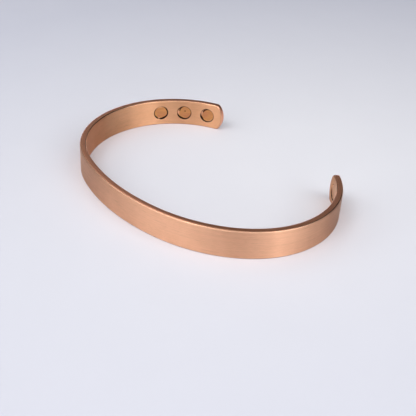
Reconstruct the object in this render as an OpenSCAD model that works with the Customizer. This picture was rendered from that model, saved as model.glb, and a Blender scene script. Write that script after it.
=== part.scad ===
// Open copper cuff bracelet with three disc magnets set in the inner face near each end.
// It stands on its edge. The closed side faces the front (minus Y), the opening is at the back.
// Origin: middle of the outline, on the surface that the cuff rests on. Lengths in millimetres.

/* [Band] */
// Width of the copper strip, which is the height of the cuff as it stands
band_width = 7.9; // [7:0.1:9]
// Thickness of the strip
band_thickness = 1.8; // [1.6:0.1:2.4]
// Rounding of the four long edges of the strip
edge_round = 0.4; // [0.2:0.05:0.6]
// Radius of the arc that closes the left end of the strip, seen from inside the cuff
left_end_radius = 5.4; // [5.2:0.1:10]
// The same of the right end
right_end_radius = 7; // [5.2:0.1:10]
// Bevel that breaks the edges of each end
end_bevel = 0.3; // [0.1:0.05:0.4]

/* [Wrist shape] */
// Radius of the left side, to the middle of the strip
left_radius = 26.2; // [25:0.1:30]
// Degrees that the left side turns through, from the left end
left_turn = 143.5; // [120:0.5:145]
// Radius of the flatter stretch across the wrist
flat_radius = 57.5; // [50:0.5:70]
// Degrees that the flatter stretch turns through
flat_turn = 32; // [24:1:36]
// Radius where the flat stretch starts to close in
easing_radius = 41; // [36:0.5:50]
// Degrees of that easing
easing_turn = 20; // [16:1:24]
// Radius of the shoulder before the right side
shoulder_radius = 31; // [28:0.5:35]
// Degrees of the shoulder
shoulder_turn = 22.5; // [18:0.5:26]
// Radius of the right side, to the middle of the strip
right_radius = 23.6; // [22.5:0.1:28]
// Degrees that the right side turns through, up to the right end
right_turn = 92; // [80:0.5:95]

/* [Magnets] */
// Diameter of each disc magnet
magnet_diameter = 4; // [3:0.1:4]
// Thickness of each disc magnet
magnet_thickness = 0.85; // [0.6:0.05:0.85]
// Bevel on the rim of each magnet
magnet_bevel = 0.12; // [0.05:0.01:0.2]
// Diameter of the drilled pocket that a magnet sits in
pocket_diameter = 4.3; // [4.3:0.1:4.6]
// Depth of the pocket below the inner face
pocket_depth = 1; // [1:0.05:1.1]
// Space between a magnet and the floor of its pocket, taken up by glue
glue_gap = 0.05; // [0.03:0.01:0.08]
// Distance from the left tip to the first pocket, along the inner face
first_pocket_left = 4.8; // [3.6:0.1:6]
// The same from the right tip
first_pocket_right = 3.6; // [3.6:0.1:6]
// Distance from one pocket to the next, along the inner face
pocket_spacing = 7.1; // [6:0.1:9]
// How far the end magnet on the left sits off the middle of its pocket, towards the tip
loose_shift = 0.1; // [0:0.01:0.1]

/* [Hidden] */

COPPER = [0.80, 0.52, 0.38];
MAGNET = [0.78, 0.46, 0.30];
// Sides of a full circle: of the shapes that show, and of the small edge rounding
fine = 96;
small = 24;
// How far a cutter reaches past what it cuts
overcut = 0.5;
// Step in degrees when the outline is measured, and step in millimetres of the coarse part of a move
outline_step = 0.5;
coarse_step = 0.01;

// Columns of the strip's path: radius, degrees turned
RADIUS = 0;
TURN = 1;
PATH = [
    [left_radius, left_turn],
    [flat_radius, flat_turn],
    [easing_radius, easing_turn],
    [shoulder_radius, shoulder_turn],
    [right_radius, right_turn]
];
LAST = len(PATH) - 1;
// Direction in which the strip leaves its left tip. It turns the closed side to the front
start_heading = 202;

// Direction of travel at the start of stretch i
function heading(i) = i == 0 ? start_heading : heading(i - 1) + PATH[i - 1][TURN];

// Point on the path where stretch i starts, counted from the left end
function knot(i) = i == 0
    ? [0, 0]
    : knot(i - 1) + PATH[i - 1][RADIUS]
        * [sin(heading(i)) - sin(heading(i - 1)), cos(heading(i - 1)) - cos(heading(i))];

// Centre of curvature of stretch i
function centre(i) = knot(i) + PATH[i][RADIUS] * [-sin(heading(i)), cos(heading(i))];

// Point at a distance outside the path, after stretch i has turned a few degrees
function outside(i, turned, distance) = centre(i)
    + (PATH[i][RADIUS] + distance) * [sin(heading(i) + turned), -cos(heading(i) + turned)];

// Middle of the outline, which becomes the origin
OUTLINE = [
    for (i = [0 : LAST])
        for (turned = [0 : outline_step : PATH[i][TURN]])
            for (side = [-1, 1])
                outside(i, turned, side * band_thickness / 2)
];
middle_x = (min([for (p = OUTLINE) p[0]]) + max([for (p = OUTLINE) p[0]])) / 2;
middle_y = (min([for (p = OUTLINE) p[1]]) + max([for (p = OUTLINE) p[1]])) / 2;

// Moves what it holds to the centre of stretch i. It moves in a coarse step and a fine step, so that
// neighbouring stretches meet exactly
module at_centre(i) {
    exact = centre(i) - [middle_x, middle_y];
    coarse = [for (value = exact) round(value / coarse_step) * coarse_step];
    translate([coarse[0], coarse[1], 0])
        translate([exact[0] - coarse[0], exact[1] - coarse[1], 0])
            children();
}

// The same, turned so that X points out through the strip
module on_stretch(i, turned) {
    at_centre(i)
        rotate([0, 0, heading(i) + turned - 90])
            children();
}

// Section of the strip with rounded edges, X across its thickness and Y up its width
module section() {
    half = band_thickness / 2;
    translate([-half + edge_round, 0])
        square([band_thickness - 2 * edge_round, band_width]);
    translate([-half, edge_round])
        square([band_thickness, band_width - 2 * edge_round]);
    for (x = [-half + edge_round, half - edge_round])
        for (y = [edge_round, band_width - edge_round])
            translate([x, y])
                circle(r = edge_round, $fn = small);
}

// One stretch of the strip
module stretch(i) {
    at_centre(i)
        rotate_extrude(angle = PATH[i][TURN], start = heading(i) - 90, $fn = fine)
            translate([PATH[i][RADIUS], 0])
                section();
}

// Round plate with bevelled rims whose edge is the arc of an end. Its axis is Z, its middle is at Z 0
module end_plate(end_radius) {
    straight = band_thickness / 2 - end_bevel;
    reach = band_thickness;
    narrow = end_radius - (reach - straight);
    rotate_extrude($fn = fine)
        polygon([
            [0, -reach], [narrow, -reach], [end_radius, -straight],
            [end_radius, straight], [narrow, reach], [0, reach]
        ]);
}

// What is cut away to leave the arc at a tip. Along is 1 at the left end and -1 at the right end
module tip_waste(i, turned, along, end_radius) {
    rim_radius = end_radius - end_bevel;
    deepest = end_radius - sqrt(rim_radius * rim_radius - band_width * band_width / 4);
    block = [band_thickness + 2 * overcut, deepest + 2 * overcut, band_width + 2 * overcut];
    on_stretch(i, turned)
        translate([PATH[i][RADIUS], 0, band_width / 2])
            difference() {
                translate([0, along * deepest / 2, 0])
                    cube(block, center = true);
                translate([0, along * end_radius, 0])
                    rotate([0, 90, 0])
                        end_plate(end_radius);
            }
}

// Degrees turned on a stretch for a distance along its inner face
function inner_degrees(i, distance) = distance * 180 / PI / (PATH[i][RADIUS] - band_thickness / 2);

// Place of pocket n (0 is nearest the tip) on the left and on the right
function left_turned(n) = inner_degrees(0, first_pocket_left + n * pocket_spacing);
function right_turned(n) = right_turn - inner_degrees(LAST, first_pocket_right + n * pocket_spacing);

// Moves what it holds to the inner face at mid width. Z points out through the strip
module on_inner_face(i, turned) {
    on_stretch(i, turned)
        translate([PATH[i][RADIUS] - band_thickness / 2, 0, band_width / 2])
            rotate([0, 90, 0])
                children();
}

module pocket(i, turned) {
    on_inner_face(i, turned)
        translate([0, 0, -overcut])
            cylinder(d = pocket_diameter, h = pocket_depth + overcut, $fn = fine);
}

// Disc with a bevelled rim, resting just off the floor of its pocket
module disc() {
    translate([0, 0, pocket_depth - glue_gap - magnet_thickness]) {
        cylinder(d1 = magnet_diameter - 2 * magnet_bevel, d2 = magnet_diameter, h = magnet_bevel, $fn = fine);
        translate([0, 0, magnet_bevel])
            cylinder(d = magnet_diameter, h = magnet_thickness - magnet_bevel, $fn = fine);
    }
}

module magnet_left(n, shift) {
    on_inner_face(0, left_turned(n))
        translate([0, -shift, 0])
            disc();
}

module magnet_right(n) {
    on_inner_face(LAST, right_turned(n))
        disc();
}

module band() {
    color(COPPER)
        difference() {
            union() {
                for (i = [0 : LAST])
                    stretch(i);
            }
            tip_waste(0, 0, 1, left_end_radius);
            tip_waste(LAST, right_turn, -1, right_end_radius);
            for (n = [0 : 2]) {
                pocket(0, left_turned(n));
                pocket(LAST, right_turned(n));
            }
        }
}

module magnet_left_1() {
    color(MAGNET) magnet_left(0, loose_shift);
}

module magnet_left_2() {
    color(MAGNET) magnet_left(1, 0);
}

module magnet_left_3() {
    color(MAGNET) magnet_left(2, 0);
}

module magnet_right_1() {
    color(MAGNET) magnet_right(0);
}

module magnet_right_2() {
    color(MAGNET) magnet_right(1);
}

module magnet_right_3() {
    color(MAGNET) magnet_right(2);
}

band();
magnet_left_1();
magnet_left_2();
magnet_left_3();
magnet_right_1();
magnet_right_2();
magnet_right_3();
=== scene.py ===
import math

import bmesh
import bpy
from mathutils import Matrix, Vector, noise


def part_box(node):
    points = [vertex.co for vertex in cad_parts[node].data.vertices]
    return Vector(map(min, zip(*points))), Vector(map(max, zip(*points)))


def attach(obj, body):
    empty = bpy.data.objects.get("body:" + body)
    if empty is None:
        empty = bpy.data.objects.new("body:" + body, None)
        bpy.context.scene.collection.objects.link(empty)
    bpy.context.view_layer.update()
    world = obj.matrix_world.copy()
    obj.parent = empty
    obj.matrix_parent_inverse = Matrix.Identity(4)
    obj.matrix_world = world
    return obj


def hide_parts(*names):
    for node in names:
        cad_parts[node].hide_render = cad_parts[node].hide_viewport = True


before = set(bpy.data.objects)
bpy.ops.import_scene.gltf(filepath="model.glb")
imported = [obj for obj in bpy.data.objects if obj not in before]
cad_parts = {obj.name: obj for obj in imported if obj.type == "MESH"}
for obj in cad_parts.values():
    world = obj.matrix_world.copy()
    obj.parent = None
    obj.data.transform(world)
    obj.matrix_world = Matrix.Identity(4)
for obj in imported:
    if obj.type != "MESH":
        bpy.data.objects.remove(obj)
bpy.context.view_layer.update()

# Driving dimensions, in metres
MM = 0.001
BAND_LOW, BAND_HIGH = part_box("band")
# How much brushing has worn off the upper edge
EDGE_WEAR = 0.06 * MM
STRIP_WIDTH = BAND_HIGH[2] - BAND_LOW[2] - EDGE_WEAR
STRIP_THICKNESS = 1.8 * MM
EDGE_ROUND = 0.4 * MM
# Radius of the arc that closes each tip, in its lower and its upper half
TIP_RADII = {"left": (6.0 * MM, 5.4 * MM), "right": (7.0 * MM, 7.0 * MM)}
# Radius that softens the lower and the upper corner of each tip
TIP_CORNERS = {"left": (0.95 * MM, 1.3 * MM), "right": (0.95 * MM, 0.95 * MM)}

# Path of the strip's middle, from the left tip: radius in millimetres, degrees turned
PATH = (
    (26.2, 143.5),
    (57.5, 32.0),
    (41.0, 20.0),
    (31.0, 22.5),
    (23.6, 92.0),
)
START_HEADING = 202.0

POCKET_RADIUS = 2.15 * MM
POCKET_DEPTH = 1.0 * MM
FIRST_POCKET = {"left": 4.8 * MM, "right": 3.6 * MM}
POCKET_SPACING = 7.1 * MM
POCKETS_PER_SIDE = 3
# How much the drilled wall narrows down to a first depth. Down to the floor it narrows twice as much
WALL_TAPER = 0.01 * MM
WALL_DEPTH = 0.35 * MM

MAGNET_RADIUS = 2.0 * MM
MAGNET_THICKNESS = 0.85 * MM
MAGNET_RIM = 0.12 * MM
GLUE_GAP = 0.05 * MM
# Depth and spread of the shallow dents in a disc's face
DENT_DEPTH = 0.014 * MM
DENT_SPREAD = 0.9 * MM

# How each disc sits off the middle of its pocket: distance along the strip, distance up
SEATING = {
    ("left", 1): (-0.08 * MM, 0.05 * MM),
    ("left", 2): (-0.05 * MM, 0.07 * MM),
    ("left", 3): (0.04 * MM, 0.09 * MM),
    ("right", 1): (0.04 * MM, -0.03 * MM),
    ("right", 2): (-0.03 * MM, 0.04 * MM),
    ("right", 3): (0.03 * MM, 0.03 * MM),
}

# Broken edge of a pocket's mouth: width, depth and unevenness
LIP = 0.02 * MM
LIP_DEPTH = 0.04 * MM
LIP_UNEVEN = 0.03 * MM
# Dark ring round the mouth, old glue and painted shade: width, share of the copper that it hides, and how
# much that share varies
GRIME_AND_SHADE_WIDTH = 0.07 * MM
GRIME_AND_SHADE_SHARE = 0.65
GRIME_AND_SHADE_CHANGE = 0.6
# Part of that share that is left half way out
GRIME_AND_SHADE_HALFWAY = 0.6
# How quickly the unevenness changes round a mouth
UNEVEN_PACE = 1.3

# Radius from which a disc's face is dark with old glue and painted shade of the gap round the disc, and
# softness of that border
DARK_FROM = {"left": 1.95 * MM, "right": 2.00 * MM}
DARK_SOFT = 0.05 * MM
# Radius from which a disc's rim is painted lighter, as a highlight, where it touches the copper
HIGHLIGHT_FROM = 1.6 * MM

# Arcs where that dark border of glue and painted shade reaches further in: direction, half spread in
# degrees, how much further in.
# Direction 0 is away from the left tip along the strip, 90 is up
GLUE_AND_SHADE_ARCS = {
    ("left", 1): ((-33.0, 36.0, 0.26 * MM),),
    ("left", 2): ((-62.0, 52.0, 0.26 * MM),),
    ("left", 3): (
        (-112.0, 50.0, 0.26 * MM),
        (-45.0, 26.0, 0.14 * MM),
        (22.0, 38.0, 0.10 * MM),
        (150.0, 46.0, 0.14 * MM),
    ),
    ("right", 1): ((-68.0, 20.0, 0.60 * MM),),
}

# Dark line that winds in over a disc's face, old glue and the painted shadow of the gap at the disc's edge:
# direction and radius where it starts and where it ends
GLUE_AND_SHADOW_LINES = {
    ("left", 1): (24.0, 1.52 * MM, 112.0, 2.14 * MM),
    ("left", 2): (12.0, 1.48 * MM, 92.0, 2.14 * MM),
}
# Half width of that line, and how many half widths from its middle it has faded out
LINE_HALF_WIDTH = 0.16 * MM
LINE_FADED = 1.6
# It comes up and fades away over one part in this many of its length
LINE_ENDS = 6

# Arcs where a disc touches the copper, with a painted highlight on its rim: direction, half spread in
# degrees, how free of glue and painted shade it is
CLEAN_ARCS = {
    ("left", 1): ((22.0, 46.0, 1.0), (-118.0, 40.0, 0.35)),
    ("left", 2): ((2.0, 40.0, 1.0),),
    ("left", 3): ((84.0, 36.0, 0.45), (-72.0, 10.0, 1.0)),
    ("right", 1): ((22.0, 72.0, 1.0),),
}
# How far the copper reaches in over the gap there, and how deep below the face
CLEAN_REACH = 0.22 * MM
CLEAN_DEPTH = 0.16 * MM

# Small dark spot in the face of the second disc on the left: distances from the middle of its pocket
DARK_SPOT_DISC = ("left", 2)
DARK_SPOT_ALONG = -0.25 * MM
DARK_SPOT_UP = 0.58 * MM
DARK_SPOT_RADIUS = 0.34 * MM
# Part of that radius over which the spot is at its darkest
DARK_SPOT_FLAT = 0.4

# Fineness of the meshes
COLUMN_STEP = 0.5 * MM
OUTLINE_STEPS = 1200
ROUND_STEPS = 8
CORNER_STEPS = 4
DISC_SEGMENTS = 96
FLOOR_CELLS = 8
# Radii in millimetres of the mesh rings on a disc's face, closer together where the glue starts
FACE_RINGS = (0.12, 0.4, 0.8, 1.15, *(1.35 + 0.05 * i for i in range(11)))
# Steps of an edge rounding that still have the brushed look of the face beside it
BRUSHED_STEPS = 4
# Length at a tip over which the mesh columns bend to follow its arc
TIP_EASE = 4.0 * MM

# Square of mesh round each pocket: half its height, and half its length along the path, which is more
# because the path is longer than the inner face
PATCH_HALF = 2.9 * MM
PATCH_STRETCH = 1.03
PATCH_ALONG = PATCH_HALF * PATCH_STRETCH
# Cells on a side, and how far each ring inside the square has turned from square to round
PATCH_CELLS = 12
PATCH_RINGS = (0.4, 0.75, 1.0)
# Reach of the last of those rings past the mouth, in widths of the dark ring of glue and painted shade
# round it
PATCH_CLEAR = 2.6

# Places in the noise: steps from one pocket to the next, from a mouth to its dark ring and from one disc to
# the next, and where the discs on each side start
POCKET_SEED = 3.7
GRIME_AND_SHADE_SEED = 5.0
DISC_SEED = 5.1
SIDE_SEED = {"left": 3.0, "right": 9.0}

HALF_WIDTH = STRIP_WIDTH / 2
# The modelled faces lie this far inside the CAD's, so that they never pass its facets
SKIN = 0.012 * MM
HALF_THICK = STRIP_THICKNESS / 2 - SKIN
FLAT_HALF = HALF_THICK - EDGE_ROUND
# Lengths that differ by less than this count as the same
CLOSE = 0.01 * MM
# Height of the outline's normal below which it belongs to the lower edge
DOWNWARD = -0.5

# Order of the materials on the band
INNER, POCKET, RIM, OUTER = range(4)


# Path of the strip

class Stretch:
    """Arc of the path. Its start is a distance from the left tip, and its heading is the first one."""

    def __init__(self, start, point, heading, radius, turn):
        self.start = start
        self.length = radius * turn
        self.radius = radius
        self.heading = heading
        self.centre = point + radius * Vector((-math.sin(heading), math.cos(heading)))


def path_stretches():
    """Arcs of the path, with the left tip at (0, 0)."""
    stretches = []
    start, heading, point = 0.0, math.radians(START_HEADING), Vector((0.0, 0.0))
    for radius, degrees in PATH:
        turn = math.radians(degrees)
        stretch = Stretch(start, point, heading, radius * MM, turn)
        stretches.append(stretch)
        start += stretch.length
        heading += turn
        point = stretch.centre + stretch.radius * Vector((math.sin(heading), -math.cos(heading)))
    return stretches


STRETCHES = path_stretches()
STRIP_LENGTH = sum(stretch.length for stretch in STRETCHES)


def stretch_at(distance):
    """Stretch of the path at a distance from the left tip, and the heading there."""
    found = STRETCHES[0]
    for stretch in STRETCHES:
        if distance >= stretch.start:
            found = stretch
    return found, found.heading + (distance - found.start) / found.radius


def flat_place(distance, out):
    """Plan position before centring, at a distance along the path and a distance outside it."""
    stretch, heading = stretch_at(distance)
    return stretch.centre + (stretch.radius + out) * Vector((math.sin(heading), -math.cos(heading)))


def outline_middle():
    """Middle of the cuff's outline seen from above, which is the frame's origin."""
    points = [
        flat_place(STRIP_LENGTH * i / OUTLINE_STEPS, side * HALF_THICK)
        for i in range(OUTLINE_STEPS + 1)
        for side in (-1, 1)
    ]
    xs = [p.x for p in points]
    ys = [p.y for p in points]
    return Vector(((min(xs) + max(xs)) / 2, (min(ys) + max(ys)) / 2))


MIDDLE = outline_middle()


def place(distance, out, up):
    """Point of the bent strip. Up is counted from the middle of its width."""
    plan = flat_place(distance, out) - MIDDLE
    return Vector((plan.x, plan.y, HALF_WIDTH + up))


def along_at(distance):
    """Direction of the strip at a distance from the left tip."""
    _, heading = stretch_at(distance)
    return Vector((math.cos(heading), math.sin(heading), 0.0))


def pocket_places():
    """Rows of side, number and distance along the path of each pocket's centre."""
    rows = []
    for number in range(POCKETS_PER_SIDE):
        for side, radius in (("left", STRETCHES[0].radius), ("right", STRETCHES[-1].radius)):
            inner = FIRST_POCKET[side] + number * POCKET_SPACING
            distance = inner * radius / (radius - HALF_THICK)
            rows.append((side, number + 1, distance if side == "left" else STRIP_LENGTH - distance))
    return sorted(rows, key=lambda row: row[2])


# Outline of a tip, inset by the edge rounding

def tip_arcs(side, upper):
    """Radii of a tip's arc and of its corner, then the corner's centre: distance from the tip, height."""
    half = 1 if upper else 0
    wide, corner = TIP_RADII[side][half], TIP_CORNERS[side][half]
    height = HALF_WIDTH - corner
    reach = wide - corner
    return wide, corner, wide - math.sqrt(reach * reach - height * height), height


def tip_row_heights():
    """Heights of the mesh rows above the middle, from 0 to the start of the edge rounding."""
    wide, corner, _, centre_up = tip_arcs("left", True)
    first = math.asin(centre_up / (wide - corner))
    small = corner - EDGE_ROUND
    half_cells = PATCH_CELLS // 2
    heights = [PATCH_HALF * i / half_cells for i in range(half_cells + 1)]
    heights.append((PATCH_HALF + centre_up + small * math.sin(first)) / 2)
    for step in range(CORNER_STEPS + 1):
        angle = first + (math.pi / 2 - first) * step / CORNER_STEPS
        heights.append(centre_up + small * math.sin(angle))
    return heights


def tip_inset(up, side):
    """Distance from the tip and outline normal where a row meets the inset outline of the tip."""
    wide, corner, centre_along, centre_up = tip_arcs(side, up > 0)
    height = abs(up)
    sign = 1 if up >= 0 else -1
    reach = wide - EDGE_ROUND
    turn_height = centre_up * reach / (wide - corner)
    if height <= turn_height:
        along = wide - math.sqrt(reach * reach - height * height)
        return along, ((along - wide) / reach, up / reach)
    small = corner - EDGE_ROUND
    rise = min(1.0, (height - centre_up) / small)
    across = math.sqrt(max(0.0, 1 - rise * rise))
    return centre_along - small * across, (-across, sign * rise)


# Band

class Sheet:
    """Mesh under construction, with the strip coordinates of each vertex kept for the materials."""

    def __init__(self):
        self.mesh = bmesh.new()
        self.strip = self.mesh.verts.layers.float_vector.new("strip")
        self.along = self.mesh.verts.layers.float_vector.new("along")
        # Share of the brighter edge colour: handling on the band's edges, and a painted highlight on the
        # edge roundings and disc rims
        self.edge = self.mesh.verts.layers.float.new("edge")
        # Share of the dark colour: old glue and soiling, and painted shade in gaps, pocket walls and at the
        # pockets' edges
        self.grime_and_shade = self.mesh.verts.layers.float.new("grime_and_shade")

    def vertex(self, distance, out, up, edge=0.0, grime_and_shade=0.0, spot=None, along=None):
        """Adds a vertex at its place on the strip, or at a spot of its own."""
        vert = self.mesh.verts.new(spot or place(distance, out, up))
        vert[self.strip] = Vector((distance, out, up)) / MM
        vert[self.along] = along or along_at(distance)
        vert[self.edge] = edge
        vert[self.grime_and_shade] = grime_and_shade
        return vert

    def quad_rings(self, rings, material=0):
        """Joins each ring of vertices to the next with four-sided faces."""
        for first, second in zip(rings, rings[1:]):
            for i in range(len(first)):
                j = (i + 1) % len(first)
                face = self.mesh.faces.new((first[i], first[j], second[j], second[i]))
                face.material_index = material

    def finished(self, name, materials):
        """Turns the mesh into a smooth object with its materials."""
        bmesh.ops.recalc_face_normals(self.mesh, faces=self.mesh.faces)
        data = bpy.data.meshes.new(name)
        self.mesh.to_mesh(data)
        self.mesh.free()
        for polygon in data.polygons:
            polygon.use_smooth = True
        for material in materials:
            data.materials.append(material)
        piece = bpy.data.objects.new(name, data)
        bpy.context.collection.objects.link(piece)
        return piece


def spread(start, end, step):
    """Evenly spaced values from start up to but not including end."""
    count = max(1, round((end - start) / step))
    return [start + (end - start) * i / count for i in range(count)]


def strip_columns():
    """Distances of the mesh columns, and a row for each pocket: disc, first and last column, centre."""
    columns, patches = [], []
    here = 0.0
    for side, number, centre in pocket_places():
        columns += spread(here, centre - PATCH_ALONG, COLUMN_STEP)
        patches.append(((side, number), len(columns), len(columns) + PATCH_CELLS, centre))
        columns += spread(centre - PATCH_ALONG, centre + PATCH_ALONG, 2 * PATCH_ALONG / PATCH_CELLS)
        here = centre + PATCH_ALONG
    columns += spread(here, STRIP_LENGTH, COLUMN_STEP) + [STRIP_LENGTH]
    return columns, patches


def ease(value):
    """Smooth step from 0 to 1."""
    value = min(1.0, max(0.0, value))
    return value * value * (3 - 2 * value)


def column_distance(column, up):
    """Distance along the path of a grid point: columns near a tip bend to follow its arc."""
    if column < STRIP_LENGTH / 2:
        return column + tip_inset(up, "left")[0] * ease(1 - column / TIP_EASE)
    return column - tip_inset(up, "right")[0] * ease(1 - (STRIP_LENGTH - column) / TIP_EASE)


class PocketFrame:
    """Places points round the axis of a pocket: side along the strip, up across it, deep into it."""

    def __init__(self, centre):
        stretch, heading = stretch_at(centre)
        self.centre = centre
        self.path_radius = stretch.radius
        self.inner_radius = stretch.radius - HALF_THICK
        self.origin = stretch.centre - MIDDLE
        self.outward = Vector((math.sin(heading), -math.cos(heading)))
        self.forward = Vector((math.cos(heading), math.sin(heading)))

    def sag(self, side):
        """How far the bent inner face lies inside the flat plane of the pocket's mouth."""
        return self.inner_radius - math.sqrt(self.inner_radius ** 2 - side ** 2)

    def spot(self, side, up, deep):
        """Point in space."""
        plan = self.origin + (self.inner_radius + deep) * self.outward + side * self.forward
        return Vector((plan.x, plan.y, HALF_WIDTH + up))

    def distance(self, side):
        """Distance along the path."""
        return self.centre + side * self.path_radius / self.inner_radius


def bump(angle, middle, half_spread):
    """1 in the middle direction, falling to 0 at half_spread degrees from it."""
    off = abs((math.degrees(angle) - middle + 180) % 360 - 180)
    return ease(1 - off / half_spread)


def clean_share(disc, angle):
    """1 where the disc touches the copper and no glue shows, 0 elsewhere."""
    rows = CLEAN_ARCS.get(disc, ())
    return max((share * bump(angle, middle, half) for middle, half, share in rows), default=0.0)


def border_angles(sheet, border, pocket):
    """Direction of each border vertex from the axis of a pocket."""
    angles = []
    for vert in border:
        flat = vert[sheet.strip] * MM
        side = (flat.x - pocket.centre) * pocket.inner_radius / pocket.path_radius
        angles.append(math.atan2(flat.z, side))
    return angles


def rounding_rings(sheet, border, angles, pocket):
    """Rings that turn the square border step by step into a circle just outside the grime."""
    rings = []
    widest = POCKET_RADIUS + LIP + PATCH_CLEAR * GRIME_AND_SHADE_WIDTH
    for fraction in PATCH_RINGS:
        verts = []
        for vert, angle in zip(border, angles):
            flat = vert[sheet.strip] * MM
            on_circle = Vector((pocket.distance(widest * math.cos(angle)), widest * math.sin(angle)))
            middle = Vector((flat.x, flat.z)).lerp(on_circle, fraction)
            verts.append(sheet.vertex(middle.x, -HALF_THICK, middle.y))
        rings.append(verts)
    return rings


def pocket_patch(sheet, border, disc, centre, seed):
    """Fills the square left open for a pocket: rings from the square to the mouth, then wall and floor."""
    pocket = PocketFrame(centre)
    angles = border_angles(sheet, border, pocket)

    def ring(radius_at, deep, grime_and_shade_at, on_face=False):
        verts = []
        for angle in angles:
            reach = radius_at(angle)
            side, up = reach * math.cos(angle), reach * math.sin(angle)
            depth = deep - pocket.sag(side) if on_face else deep
            spot = pocket.spot(side, up, depth)
            distance = pocket.distance(side)
            verts.append(sheet.vertex(distance, -HALF_THICK + depth, up, 0.0, grime_and_shade_at(angle), spot))
        return verts

    def uneven(angle, shift):
        side, up = UNEVEN_PACE * math.cos(angle), UNEVEN_PACE * math.sin(angle)
        return noise.noise(Vector((side, up, seed + shift)))

    def mouth(angle):
        return POCKET_RADIUS + LIP + LIP_UNEVEN * uneven(angle, 0.0)

    def bare(angle):
        return 0.0

    def darkened(angle):
        return 1 - clean_share(disc, angle)

    def dirt_and_shade(angle):
        share = GRIME_AND_SHADE_SHARE + GRIME_AND_SHADE_CHANGE * uneven(angle, GRIME_AND_SHADE_SEED)
        return min(1.0, max(0.0, share)) * darkened(angle)

    rings = [border] + rounding_rings(sheet, border, angles, pocket)
    # The mouth rings and the wall below them are darkened: old glue and soiling round the mouth, and
    # painted shade of the pocket's edge and wall, except where the disc touches the copper
    rings.append(ring(lambda a: mouth(a) + GRIME_AND_SHADE_WIDTH, 0.0, bare, True))
    rings.append(ring(lambda a: mouth(a) + GRIME_AND_SHADE_WIDTH / 2, 0.0, lambda a: GRIME_AND_SHADE_HALFWAY * dirt_and_shade(a), True))
    rings.append(ring(mouth, 0.0, dirt_and_shade, True))
    rings.append(ring(lambda a: POCKET_RADIUS, LIP_DEPTH, darkened, True))
    rings.append(ring(lambda a: POCKET_RADIUS - CLEAN_REACH * clean_share(disc, a), CLEAN_DEPTH, darkened))
    sheet.quad_rings(rings, material=INNER)
    wall = ring(lambda a: POCKET_RADIUS - WALL_TAPER, WALL_DEPTH, bare)
    floor = ring(lambda a: POCKET_RADIUS - 2 * WALL_TAPER, POCKET_DEPTH, bare)
    sheet.quad_rings([rings[-1], wall, floor], material=POCKET)
    sheet.mesh.faces.new(floor).material_index = POCKET


def patch_border(grid, first, last, low, high):
    """Vertices round a square of the grid, from its first column and lowest row."""
    border = [grid[i][low] for i in range(first, last)]
    border += [grid[last][j] for j in range(low, high)]
    border += [grid[i][high] for i in range(last, first, -1)]
    border += [grid[first][j] for j in range(high, low, -1)]
    return border


def band_face(sheet, columns, heights, out, patches, material):
    """Inner or outer face as rows of vertices by column. Squares for pockets are left open, then filled."""
    hidden = set()
    for _, first, last, _ in patches:
        for i in range(first + 1, last):
            for j, up in enumerate(heights):
                if abs(up) < PATCH_HALF - CLOSE:
                    hidden.add((i, j))
    grid = []
    for i, column in enumerate(columns):
        line = []
        for j, up in enumerate(heights):
            if (i, j) in hidden:
                line.append(None)
            else:
                line.append(sheet.vertex(column_distance(column, up), out, up))
        grid.append(line)
    rows_in_patch = [j for j, up in enumerate(heights) if abs(up) <= PATCH_HALF + CLOSE]
    low, high = rows_in_patch[0], rows_in_patch[-1]
    open_cells = {
        (i, j) for _, first, last, _ in patches for i in range(first, last) for j in range(low, high)
    }
    for i in range(len(columns) - 1):
        for j in range(len(heights) - 1):
            if (i, j) not in open_cells:
                cell = (grid[i][j], grid[i + 1][j], grid[i + 1][j + 1], grid[i][j + 1])
                sheet.mesh.faces.new(cell).material_index = material
    for number, (disc, first, last, centre) in enumerate(patches):
        border = patch_border(grid, first, last, low, high)
        pocket_patch(sheet, border, disc, centre, POCKET_SEED * number)
    return grid


def rim_loop(grid, columns, heights):
    """Vertices round the border of a face, with the outline's normal at each as along and up."""
    top, last = len(heights) - 1, len(columns) - 1
    loop = [(grid[i][0], (0.0, -1.0)) for i in range(last)]
    for j in range(top):
        _, normal = tip_inset(heights[j], "right")
        loop.append((grid[last][j], (-normal[0], normal[1])))
    loop += [(grid[i][top], (0.0, 1.0)) for i in range(last, 0, -1)]
    for j in range(top, 0, -1):
        _, normal = tip_inset(heights[j], "left")
        loop.append((grid[0][j], normal))
    return loop


def edge_profile():
    """Section of the edge from the inner to the outer face: reach past the rim loop, distance out."""
    rows = []
    for step in range(1, ROUND_STEPS + 1):
        angle = math.pi / 2 * step / ROUND_STEPS
        rows.append((EDGE_ROUND * math.sin(angle), -FLAT_HALF - EDGE_ROUND * math.cos(angle)))
    rows.append((EDGE_ROUND, 0.0))
    rows += [(reach, -out) for reach, out in reversed(rows[:-1])]
    return rows


def edge_bulge(out):
    """1 in the middle of an edge rounding, 0 on the flat of the edge."""
    if abs(out) <= FLAT_HALF:
        return 0.0
    return math.sin(math.pi * min(1.0, (abs(out) - FLAT_HALF) / EDGE_ROUND))


def round_the_edge(distance, normal):
    """Direction that follows the outline of the strip, from its normal as along and up."""
    flip = -1 if normal[1] < DOWNWARD else 1
    return flip * (normal[1] * along_at(distance) - normal[0] * Vector((0.0, 0.0, 1.0)))


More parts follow.
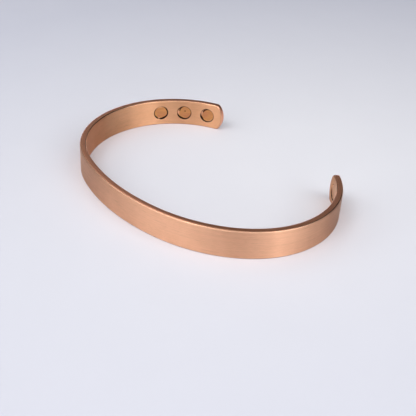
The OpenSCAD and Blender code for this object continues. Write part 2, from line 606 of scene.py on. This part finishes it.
def make_band(materials):
    """Bent copper strip with rounded edges and tips and six pockets in its inner face."""
    sheet = Sheet()
    columns, patches = strip_columns()
    upper = tip_row_heights()
    heights = [-up for up in reversed(upper[1:])] + upper
    inner = band_face(sheet, columns, heights, -HALF_THICK, patches, INNER)
    outer = band_face(sheet, columns, heights, HALF_THICK, [], OUTER)
    inner_rim = rim_loop(inner, columns, heights)
    outer_rim = rim_loop(outer, columns, heights)
    rows = [[vert for vert, _ in inner_rim]]
    for reach, out in edge_profile()[:-1]:
        row = []
        for vert, normal in inner_rim:
            flat = vert[sheet.strip] * MM
            distance, up = flat.x + normal[0] * reach, flat.z + normal[1] * reach
            along = round_the_edge(flat.x, normal)
            # The middle of each rounding takes the brighter edge colour: partly handling, partly a painted
            # highlight
            row.append(sheet.vertex(distance, out, up, edge_bulge(out), along=along))
        rows.append(row)
    rows.append([vert for vert, _ in outer_rim])
    last = len(rows) - 1
    sheet.quad_rings(rows[:BRUSHED_STEPS + 1], material=INNER)
    sheet.quad_rings(rows[BRUSHED_STEPS:last - BRUSHED_STEPS + 1], material=RIM)
    sheet.quad_rings(rows[last - BRUSHED_STEPS:], material=OUTER)
    return sheet.finished("band_detailed", materials)


# Magnets

def disc_shade(disc, angle, radius):
    """Darkening and painted highlight at a point of a disc's face, for the disc given by side and number:
    old glue with painted shade of the gap, and a painted highlight where the disc touches the copper.
    """
    reach = sum(depth * bump(angle, middle, half) for middle, half, depth in GLUE_AND_SHADE_ARCS.get(disc, ()))
    border = DARK_FROM[disc[0]] - reach
    clean = clean_share(disc, angle)
    grime_and_shade = ease(0.5 + (radius - border) / (2 * DARK_SOFT)) * (1 - clean)
    painted_highlight = clean * ease((radius - HIGHLIGHT_FROM) / (2 * DARK_SOFT))
    if disc in GLUE_AND_SHADOW_LINES:
        start, start_radius, end, end_radius = GLUE_AND_SHADOW_LINES[disc]
        share = (math.degrees(angle) - start) / (end - start)
        if 0 < share < 1:
            line = start_radius + (end_radius - start_radius) * share
            dark = ease(LINE_FADED - abs(radius - line) / LINE_HALF_WIDTH)
            dark *= ease(LINE_ENDS * min(share, 1 - share))
            grime_and_shade = max(grime_and_shade, dark)
    return grime_and_shade, painted_highlight * (1 - grime_and_shade)


def make_magnet(side, number, centre, materials):
    """Disc set in a pocket, with a softened rim, a slightly uneven face, old glue with painted shade round
    its edge, and a painted highlight where it touches the copper.
    """
    sheet = Sheet()
    pocket = PocketFrame(centre)
    top = POCKET_DEPTH - GLUE_GAP - MAGNET_THICKNESS
    slip_along, slip_up = SEATING[side, number]
    seed = Vector((number * DISC_SEED, SIDE_SEED[side], 0.0))

    def ring(radius, deep, grime_and_shade=None):
        verts = []
        for i in range(DISC_SEGMENTS):
            angle = 2 * math.pi * i / DISC_SEGMENTS - math.pi
            flat = Vector((radius * math.cos(angle), radius * math.sin(angle), 0.0))
            on_face = deep < top + MAGNET_RIM / 2
            dent = DENT_DEPTH * noise.noise(flat / DENT_SPREAD + seed) if on_face else 0.0
            shade, painted_highlight = disc_shade((side, number), angle, radius) if grime_and_shade is None else (grime_and_shade, 0.0)
            along, up = flat.x + slip_along, flat.y + slip_up
            spot = pocket.spot(along, up, deep + dent)
            place_along = pocket.distance(along)
            verts.append(sheet.vertex(place_along, -HALF_THICK + deep + dent, up, painted_highlight, shade, spot))
        return verts

    rings = [ring(radius * MM, top) for radius in FACE_RINGS]
    for step in range(1, ROUND_STEPS + 1):
        angle = math.pi / 2 * step / ROUND_STEPS
        radius = MAGNET_RADIUS - MAGNET_RIM * (1 - math.sin(angle))
        rings.append(ring(radius, top + MAGNET_RIM * (1 - math.cos(angle))))
    base = top + MAGNET_THICKNESS
    # The disc's side and back are dark all over: glue, with painted shade inside the pocket
    rings.append(ring(MAGNET_RADIUS, base - MAGNET_RIM, 1.0))
    rings.append(ring(MAGNET_RADIUS - MAGNET_RIM, base, 1.0))
    sheet.quad_rings(rings)
    sheet.mesh.faces.new(rings[0])
    sheet.mesh.faces.new(rings[-1])
    return sheet.finished(f"disc_{side}_{number}", materials)


# Materials

# Each finish has the colours where it is bright, where it has clouded over, and on edges kept bright partly
# by handling and partly as a painted highlight, then its roughness, scratches for each millimetre of width,
# their depth, how strongly the brushing stretches the reflections, and how close together the clouded
# patches lie
# The inner, outer and rim finishes are one copper. Their colours differ slightly as painted light, each
# tinted to stand in for the light and shade that falls on its face
INNER_FINISH = dict(
    bright=(0.866, 0.477, 0.274), dull=(0.794, 0.424, 0.237), polish_and_highlight=(0.90, 0.53, 0.33),
    rough=0.46, fineness=9.0, grain_depth=0.03 * MM, turned_gloss=1.0, cloud_size=0.16,
)
OUTER_FINISH = dict(
    bright=(0.892, 0.506, 0.327), dull=(0.833, 0.460, 0.293), polish_and_highlight=(0.91, 0.54, 0.36),
    rough=0.46, fineness=9.0, grain_depth=0.03 * MM, turned_gloss=1.0, cloud_size=0.16,
)
RIM_FINISH = dict(
    bright=(0.95, 0.43, 0.262), dull=(0.87, 0.37, 0.22), polish_and_highlight=(0.95, 0.47, 0.30),
    rough=0.32, fineness=7.0, grain_depth=0.006 * MM, turned_gloss=0.0, cloud_size=0.16,
)
# Drilled copper inside a pocket, dark with old glue and tarnish, and painted darker still as shade deep in
# the narrow pocket
POCKET_FINISH = dict(
    bright=(0.10, 0.045, 0.03), dull=(0.04, 0.02, 0.015), polish_and_highlight=(0.10, 0.045, 0.03),
    rough=0.55, fineness=6.0, grain_depth=0.02 * MM, turned_gloss=0.0, cloud_size=0.16,
)
MAGNET_FINISH = dict(
    bright=(0.71, 0.34, 0.118), dull=(0.625, 0.258, 0.118), polish_and_highlight=(0.88, 0.52, 0.34),
    rough=0.36, fineness=7.0, grain_depth=0.02 * MM, turned_gloss=0.4, cloud_size=0.55,
)

# Stretch of the fine streaks along the strip and their detail, then stretch, fineness and detail of the
# coarse streaks and of the single scratches
FINE_STRETCH = 0.09
FINE_DETAIL = 3.0
COARSE_STREAKS = (0.035, 2.4, 2.0)
SINGLE_SCRATCHES = (0.045, 5.2, 1.0)
# Share of the coarse streaks among all, and raggedness of all three
COARSE_SHARE = 0.4
GRAIN_RAGGED = 0.6
CLOUD_DETAIL = 4.0
CLOUD_RAGGED = 0.55
# Values of the noise between which streaks, single scratches and clouded patches go from none to full
STREAK_RANGE = (0.3, 0.7)
SCRATCH_RANGE = (0.66, 0.74)
CLOUD_RANGE = (0.35, 0.68)

# How much the streaks change the roughness, and the share of it that is left on the brighter edges
ROUGH_CHANGE = 0.04
POLISHED_ROUGH = 0.8
# Lightness of the darkest and the brightest streak, and of a single scratch
STREAK_TONES = (0.9, 1.07)
SCRATCH_TONE = 0.86
RELIEF_STRENGTH = 0.35
# Quarter turn that lays the stretched reflections across the scratches
GLOSS_TURN = 0.25

# Dark colour of old glue and soiling, which also serves as painted shade in gaps and at the pockets' edges
GRIME_AND_SHADE_COLOUR = (0.03, 0.014, 0.012, 1.0)
GRIME_AND_SHADE_ROUGH = 0.6
DARK_SPOT_COLOUR = (0.18, 0.055, 0.025, 1.0)
DARK_SPOT_STRENGTH = 0.85

# Two tones of the paper's faint mottle, then what dims them near the object and far from it: a painted pool
# of light near it that fades to painted shade far away
PAPER_TONES = ((0.705, 0.71, 0.75, 1.0), (0.725, 0.73, 0.77, 1.0))
PAPER_LIGHT_AND_SHADE = ((0.98, 0.975, 0.988, 1.0), (0.785, 0.795, 0.865, 1.0))
PAPER_MOTTLE = 60.0
PAPER_DETAIL = 3.0
PAPER_ROUGH = 0.75
PAPER_SPECULAR = 0.25
# Middle of the paper's painted pool of light, and distances from it between which the painted light falls
# off to painted shade
PAPER_LIGHT_POOL_MIDDLE = (5 * MM, 36 * MM, 0.0)
PAPER_LIGHT_FALLOFF = (20 * MM, 172 * MM)
# Stretch of those distances, which makes the painted pool of light an oval
PAPER_LIGHT_POOL_STRETCH = (1.24, 1.0, 1.0)


def node(tree, kind, inputs=(), **settings):
    """Adds a shader node, sets its properties and fills or links its inputs by name or number."""
    made = tree.nodes.new(kind)
    for key, value in settings.items():
        setattr(made, key, value)
    for key, value in dict(inputs).items():
        if isinstance(value, bpy.types.NodeSocket):
            tree.links.new(value, made.inputs[key])
        else:
            made.inputs[key].default_value = value
    return made


def attribute(tree, name):
    """Value that the mesh keeps at each vertex."""
    return node(tree, "ShaderNodeAttribute", attribute_name=name)


def mixed_colour(tree, share, first, second, blend="MIX"):
    """Colour between two others, or their product with blend MULTIPLY."""
    inputs = {0: share, 6: first, 7: second}
    return node(tree, "ShaderNodeMix", inputs, data_type="RGBA", blend_type=blend).outputs[2]


def mixed_value(tree, share, first, second):
    """Number between two others."""
    return node(tree, "ShaderNodeMix", {0: share, 2: first, 3: second}, data_type="FLOAT").outputs[0]


def remapped(tree, value, start, end, new_start=0.0, new_end=1.0):
    """Value moved from one range to another, and kept within it."""
    inputs = {"Value": value, 1: start, 2: end, 3: new_start, 4: new_end}
    return node(tree, "ShaderNodeMapRange", inputs).outputs[0]


def vector_math(tree, operation, **inputs):
    """Vector operation on inputs named a, b and scale. A length or distance comes out as a number."""
    numbers = {"a": 0, "b": 1, "scale": 3}
    given = {numbers[key]: value for key, value in inputs.items()}
    made = node(tree, "ShaderNodeVectorMath", given, operation=operation)
    return made.outputs["Value" if operation in ("LENGTH", "DISTANCE") else "Vector"]


def noise_pattern(tree, vector, scale, detail, roughness=0.5):
    """Soft random pattern over a vector."""
    inputs = {"Vector": vector, "Scale": scale, "Detail": detail, "Roughness": roughness}
    return node(tree, "ShaderNodeTexNoise", inputs).outputs["Fac"]


def new_group(name, inputs, outputs):
    """Node group with named sockets. Each input is name, socket type and default."""
    group = bpy.data.node_groups.new(name, "ShaderNodeTree")
    for label, kind, default in inputs:
        socket = group.interface.new_socket(name=label, in_out="INPUT", socket_type=kind)
        socket.default_value = default
    for label, kind in outputs:
        group.interface.new_socket(name=label, in_out="OUTPUT", socket_type=kind)
    return group, group.nodes.new("NodeGroupInput"), group.nodes.new("NodeGroupOutput")


def brushed_grain_group():
    """Scratches along the strip: streaks for colour and gloss, single clear scratches, relief height."""
    group, given, result = new_group(
        "brushed grain",
        [
            ("Fineness", "NodeSocketFloat", INNER_FINISH["fineness"]),
            ("Stretch", "NodeSocketFloat", FINE_STRETCH),
        ],
        [("Streaks", "NodeSocketFloat"), ("Scratches", "NodeSocketFloat"), ("Height", "NodeSocketFloat")],
    )
    strip = attribute(group, "strip").outputs["Vector"]

    def drawn_noise(stretch, fineness, detail):
        squash = node(group, "ShaderNodeCombineXYZ", {"X": stretch, "Y": 1.0, "Z": 1.0})
        run = vector_math(group, "MULTIPLY", a=strip, b=squash.outputs[0])
        return noise_pattern(group, run, fineness, detail, GRAIN_RAGGED)

    fine = drawn_noise(given.outputs["Stretch"], given.outputs["Fineness"], FINE_DETAIL)
    coarse = drawn_noise(*COARSE_STREAKS)
    single = drawn_noise(*SINGLE_SCRATCHES)
    streaks = mixed_value(group, COARSE_SHARE, fine, coarse)
    scratches = remapped(group, single, *SCRATCH_RANGE)
    group.links.new(streaks, result.inputs["Streaks"])
    group.links.new(scratches, result.inputs["Scratches"])
    group.links.new(fine, result.inputs["Height"])
    return group


def clouding_group():
    """Soft uneven patches that handling and air leave on bare copper."""
    group, given, result = new_group(
        "copper clouding",
        [("Size", "NodeSocketFloat", INNER_FINISH["cloud_size"])],
        [("Cloud", "NodeSocketFloat")],
    )
    strip = attribute(group, "strip").outputs["Vector"]
    patches = noise_pattern(group, strip, given.outputs["Size"], CLOUD_DETAIL, CLOUD_RAGGED)
    cloud = remapped(group, patches, *CLOUD_RANGE)
    group.links.new(cloud, result.inputs["Cloud"])
    return group


def wear_highlight_and_shade_group():
    """Edges and disc rims kept brighter and glossier, partly by handling and partly as a painted highlight,
    and dark old glue round the pockets, with painted shade in their gaps and at their edges.
    """
    group, given, result = new_group(
        "edge wear and grime",
        [
            ("Colour", "NodeSocketColor", (*INNER_FINISH["bright"], 1.0)),
            ("Polished_and_highlight", "NodeSocketColor", (*INNER_FINISH["polish_and_highlight"], 1.0)),
            ("Gloss", "NodeSocketFloat", INNER_FINISH["rough"]),
            ("Polished Gloss", "NodeSocketFloat", INNER_FINISH["rough"] * POLISHED_ROUGH),
        ],
        [("Colour", "NodeSocketColor"), ("Gloss", "NodeSocketFloat")],
    )
    edge = attribute(group, "edge").outputs["Fac"]
    grime_and_shade = attribute(group, "grime_and_shade").outputs["Fac"]
    worn_and_lit = mixed_colour(group, edge, given.outputs["Colour"], given.outputs["Polished_and_highlight"])
    dirty_and_shaded = mixed_colour(group, grime_and_shade, worn_and_lit, GRIME_AND_SHADE_COLOUR)
    worn_gloss = mixed_value(group, edge, given.outputs["Gloss"], given.outputs["Polished Gloss"])
    dirty_gloss = mixed_value(group, grime_and_shade, worn_gloss, GRIME_AND_SHADE_ROUGH)
    group.links.new(dirty_and_shaded, result.inputs["Colour"])
    group.links.new(dirty_gloss, result.inputs["Gloss"])
    return group


def copper_material(
    name, groups, bright, dull, polish_and_highlight, rough, fineness, grain_depth, turned_gloss, cloud_size
):
    """Satin copper: brushed grain, soft clouding, and edges kept brighter partly by handling and partly as
    a painted highlight, with dark old glue and painted shade round the pockets.
    """
    material = bpy.data.materials.new(name)
    material.use_nodes = True
    tree = material.node_tree
    shader = tree.nodes["Principled BSDF"]
    shader.inputs["Metallic"].default_value = 1.0
    shader.inputs["Anisotropic"].default_value = turned_gloss
    shader.inputs["Anisotropic Rotation"].default_value = GLOSS_TURN
    grain = node(tree, "ShaderNodeGroup", node_tree=groups["grain"])
    grain.inputs["Fineness"].default_value = fineness
    cloud = node(tree, "ShaderNodeGroup", node_tree=groups["clouding"])
    cloud.inputs["Size"].default_value = cloud_size
    along = attribute(tree, "along").outputs["Vector"]
    streaks, scratches = grain.outputs["Streaks"], grain.outputs["Scratches"]

    tone = mixed_colour(tree, cloud.outputs["Cloud"], (*bright, 1.0), (*dull, 1.0))
    streak_tint = remapped(tree, streaks, *STREAK_RANGE, *STREAK_TONES)
    scratch_tint = remapped(tree, scratches, 0.0, 1.0, 1.0, SCRATCH_TONE)
    tint = node(tree, "ShaderNodeMath", {0: streak_tint, 1: scratch_tint}, operation="MULTIPLY")
    streaked = vector_math(tree, "SCALE", a=tone, scale=tint.outputs[0])
    gloss = remapped(tree, streaks, *STREAK_RANGE, rough + ROUGH_CHANGE, rough - ROUGH_CHANGE)

    wear_and_highlight = node(tree, "ShaderNodeGroup", {"Colour": streaked, "Gloss": gloss}, node_tree=groups["wear_and_highlight"])
    wear_and_highlight.inputs["Polished_and_highlight"].default_value = (*polish_and_highlight, 1.0)
    wear_and_highlight.inputs["Polished Gloss"].default_value = rough * POLISHED_ROUGH
    relief = node(
        tree,
        "ShaderNodeBump",
        {"Height": grain.outputs["Height"], "Distance": grain_depth, "Strength": RELIEF_STRENGTH},
    )
    tree.links.new(wear_and_highlight.outputs["Colour"], shader.inputs["Base Color"])
    tree.links.new(wear_and_highlight.outputs["Gloss"], shader.inputs["Roughness"])
    tree.links.new(relief.outputs[0], shader.inputs["Normal"])
    tree.links.new(along, shader.inputs["Tangent"])
    return material


def add_dark_spot(material, centre):
    """Small dark spot in a disc's face, mixed into the colour that the material already has."""
    tree = material.node_tree
    shader = tree.nodes["Principled BSDF"]
    colour = shader.inputs["Base Color"].links[0].from_socket
    strip = attribute(tree, "strip").outputs["Vector"]
    flat = vector_math(tree, "MULTIPLY", a=strip, b=(1.0, 0.0, 1.0))
    middle = ((centre + DARK_SPOT_ALONG) / MM, 0.0, DARK_SPOT_UP / MM)
    reach = vector_math(tree, "DISTANCE", a=flat, b=middle)
    mask = remapped(tree, reach, DARK_SPOT_FLAT * DARK_SPOT_RADIUS / MM, DARK_SPOT_RADIUS / MM, DARK_SPOT_STRENGTH, 0.0)
    tree.links.new(mixed_colour(tree, mask, colour, DARK_SPOT_COLOUR), shader.inputs["Base Color"])


def floor_material():
    """Matt pale paper with a very faint mottle, and a painted pool of light round the object that falls off
    softly to painted shade away from it.
    """
    material = bpy.data.materials.new("pale surface")
    material.use_nodes = True
    tree = material.node_tree
    shader = tree.nodes["Principled BSDF"]
    shader.inputs["Roughness"].default_value = PAPER_ROUGH
    shader.inputs["Specular IOR Level"].default_value = PAPER_SPECULAR
    spot = node(tree, "ShaderNodeTexCoord").outputs["Object"]
    mottle = noise_pattern(tree, spot, PAPER_MOTTLE, PAPER_DETAIL)
    tone = mixed_colour(tree, mottle, *PAPER_TONES)
    # Painted pool of light and shade: the paper is painted brighter near the object and darker away from it
    offset = vector_math(tree, "SUBTRACT", a=spot, b=PAPER_LIGHT_POOL_MIDDLE)
    oval = vector_math(tree, "MULTIPLY", a=offset, b=PAPER_LIGHT_POOL_STRETCH)
    reach = vector_math(tree, "LENGTH", a=oval)
    falloff = remapped(tree, reach, *PAPER_LIGHT_FALLOFF)
    shade = mixed_colour(tree, falloff, *PAPER_LIGHT_AND_SHADE)
    shaded = mixed_colour(tree, 1.0, tone, shade, "MULTIPLY")
    tree.links.new(shaded, shader.inputs["Base Color"])
    return material


# Stage

CAMERA_AZIMUTH = 48.98
CAMERA_ELEVATION = 33.39
CAMERA_ROLL = 3.47
CAMERA_DISTANCE = 200 * MM
CAMERA_TARGET = Vector((10.24 * MM, -5.30 * MM, 0.0))
CAMERA_LENS = 66.82
CAMERA_SENSOR = 36.0
# Nearest and furthest distance that the camera sees
CAMERA_CLIP = (0.01, 20.0)

# Half the side of the paper, and how far it lies under the cuff so that the two never share a plane
FLOOR_REACH = 3.0
FLOOR_DROP = 0.01 * MM

ROOM_COLOUR = (0.92, 0.96, 1.12, 1.0)
ROOM_STRENGTH = 0.02

LIGHT_DISTANCE = 0.70

# Soft lights in rings round the object. Each ring has elevation, width, height, and rows of azimuth from
# the camera's and power. Most powers outside the horizon ring come from a separate program, which fitted
# them to the brightness of the photo. The others were set one by one
LIGHT_RINGS = {
    "horizon": (7, 0.50, 0.08, ((-150, 0.24), (150, 0.16), (180, 0.12))),
    "low": (14, 0.30, 0.14, ((-60, 0.43), (30, 0.42), (90, 0.17))),
    "middle": (
        32, 0.22, 0.22,
        (
            (-165, 0.02), (-135, 0.09), (-105, 0.23), (-90, 0.34), (-75, 0.27), (-45, 0.31), (-30, 0.14),
            (45, 0.39), (60, 0.43), (75, 0.30), (90, 0.04), (165, 0.03),
        ),
    ),
    "high": (
        54, 0.36, 0.28,
        ((-150, 0.41), (-90, 0.16), (-60, 0.95), (-30, 0.92), (0, 0.82), (30, 0.65), (60, 0.80)),
    ),
    "overhead": (86, 0.60, 0.60, ((0, 0.48),)),
}


def toward(azimuth, elevation):
    """Unit vector from the object to a viewer. Azimuth 0 is in front, at minus Y, and 90 at plus X."""
    a, e = math.radians(azimuth), math.radians(elevation)
    return Vector((math.sin(a) * math.cos(e), -math.cos(a) * math.cos(e), math.sin(e)))


def make_camera():
    """Camera at the photo's angle, with its slight roll."""
    data = bpy.data.cameras.new("camera")
    data.lens = CAMERA_LENS
    data.sensor_width = CAMERA_SENSOR
    data.clip_start, data.clip_end = CAMERA_CLIP
    camera = bpy.data.objects.new("camera", data)
    bpy.context.collection.objects.link(camera)
    back = toward(CAMERA_AZIMUTH, CAMERA_ELEVATION)
    right = Vector((0.0, 0.0, 1.0)).cross(back).normalized()
    up = back.cross(right)
    roll = math.radians(CAMERA_ROLL)
    tilted_right = right * math.cos(roll) + up * math.sin(roll)
    tilted_up = up * math.cos(roll) - right * math.sin(roll)
    turn = Matrix((tilted_right, tilted_up, back)).transposed().to_4x4()
    camera.matrix_world = Matrix.Translation(CAMERA_TARGET + back * CAMERA_DISTANCE) @ turn
    bpy.context.scene.camera = camera


def make_floor():
    """Pale paper that the cuff stands on."""
    sheet = bmesh.new()
    bmesh.ops.create_grid(sheet, x_segments=FLOOR_CELLS, y_segments=FLOOR_CELLS, size=FLOOR_REACH)
    data = bpy.data.meshes.new("floor")
    sheet.to_mesh(data)
    sheet.free()
    data.materials.append(floor_material())
    floor = bpy.data.objects.new("floor", data)
    floor.location.z = -FLOOR_DROP
    bpy.context.collection.objects.link(floor)


def make_light(name, azimuth, elevation, width, height, power):
    """Rectangular soft light that faces the object."""
    data = bpy.data.lights.new(name, "AREA")
    data.shape = "RECTANGLE"
    data.size = width
    data.size_y = height
    data.energy = power
    light = bpy.data.objects.new(name, data)
    back = toward(CAMERA_AZIMUTH + azimuth, elevation)
    light.location = back * LIGHT_DISTANCE
    light.rotation_mode = "QUATERNION"
    light.rotation_quaternion = back.to_track_quat("Z", "Y")
    bpy.context.collection.objects.link(light)


def make_lights():
    """All the lights of all the rings."""
    for ring, (elevation, width, height, lights) in LIGHT_RINGS.items():
        for number, (azimuth, power) in enumerate(lights, start=1):
            make_light(f"{ring}_{number}", azimuth, elevation, width, height, power)


def make_world():
    """Dim room round the lights."""
    world = bpy.data.worlds.new("room")
    world.use_nodes = True
    backdrop = world.node_tree.nodes["Background"]
    backdrop.inputs["Color"].default_value = ROOM_COLOUR
    backdrop.inputs["Strength"].default_value = ROOM_STRENGTH
    bpy.context.scene.world = world
    bpy.context.scene.view_settings.view_transform = "Standard"


def dress():
    """Band and magnets, each over the CAD node that it replaces."""
    groups = {"grain": brushed_grain_group(), "clouding": clouding_group(), "wear_and_highlight": wear_highlight_and_shade_group()}
    inner = copper_material("inner copper", groups, **INNER_FINISH)
    outer = copper_material("brushed copper", groups, **OUTER_FINISH)
    rim = copper_material("rim copper", groups, **RIM_FINISH)
    pocket = copper_material("pocket copper", groups, **POCKET_FINISH)
    band = make_band([inner, pocket, rim, outer])
    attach(band, "root")
    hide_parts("band")
    plating = copper_material("magnet plating", groups, **MAGNET_FINISH)
    spotted_plating = copper_material("pitted plating", groups, **MAGNET_FINISH)
    for side, number, centre in pocket_places():
        spotted = (side, number) == DARK_SPOT_DISC
        if spotted:
            add_dark_spot(spotted_plating, centre)
        disc = make_magnet(side, number, centre, [spotted_plating if spotted else plating])
        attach(disc, "root")
        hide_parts(f"magnet_{side}_{number}")


make_camera()
make_floor()
make_lights()
make_world()
dress()
